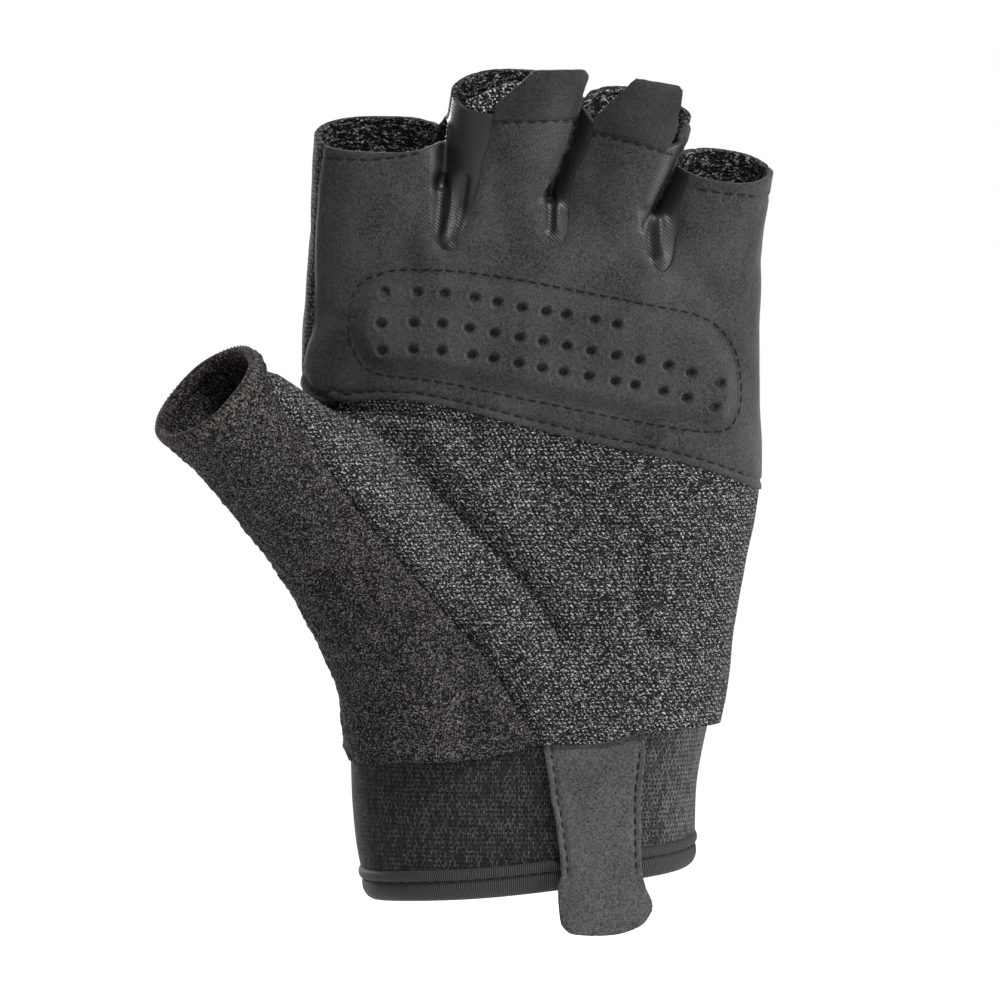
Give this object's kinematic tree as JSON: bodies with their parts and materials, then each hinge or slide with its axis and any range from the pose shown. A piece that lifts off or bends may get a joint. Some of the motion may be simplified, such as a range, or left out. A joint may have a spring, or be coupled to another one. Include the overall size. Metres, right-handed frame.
{
  "type": "fingerless training glove",
  "caption": "Left-hand fingerless training glove held open as worn, with dimpled grip pad, knit palm, terry thumb, finger pull tabs, ribbed cuff and wrist pull strap.",
  "frame": {"origin": "centre of the wrist opening, on the hem's mid line, where the hand goes in", "axes": "+Z from the wrist to the fingertips, -Y out of the palm, +Y out of the back of the hand, -X towards the thumb"},
  "size_m": [0.114, 0.0577, 0.1595],
  "materials": {
    "back_mesh": "black open mesh",
    "suede": "charcoal microfibre suede with a short nap",
    "pad_suede": "charcoal microfibre suede, pressed with dimples",
    "palm_knit": "dark grey textured knit with light flecks",
    "terry": "charcoal brushed terry",
    "overlock_thread": "overlocked dark thread",
    "stretch_fabric": "smooth black stretch fabric with a slight sheen",
    "lining_mesh": "black mesh with white flecks",
    "cuff_knit": "black elastic knit in columns",
    "binding_tape": "finely ribbed binding tape",
    "strap_suede": "heathered charcoal microfibre suede"
  },
  "bodies": {
    "root": {"back_panel": "back_mesh", "palm_suede_panel": "suede", "grip_pad": "pad_suede", "palm_knit_panel": "palm_knit", "thumb_terry_panel": "terry", "thumb_opening_hem": "overlock_thread", "fourchette_index_middle": "stretch_fabric", "fourchette_middle_ring": "stretch_fabric", "fourchette_ring_little": "stretch_fabric", "middle_pull_tab": "suede", "ring_pull_tab": "suede", "middle_tab_lining": "lining_mesh", "ring_tab_lining": "lining_mesh", "wrist_cuff": "cuff_knit", "hem_binding": "binding_tape", "wrist_pull_strap": "strap_suede"}
  },
  "joints": []
}
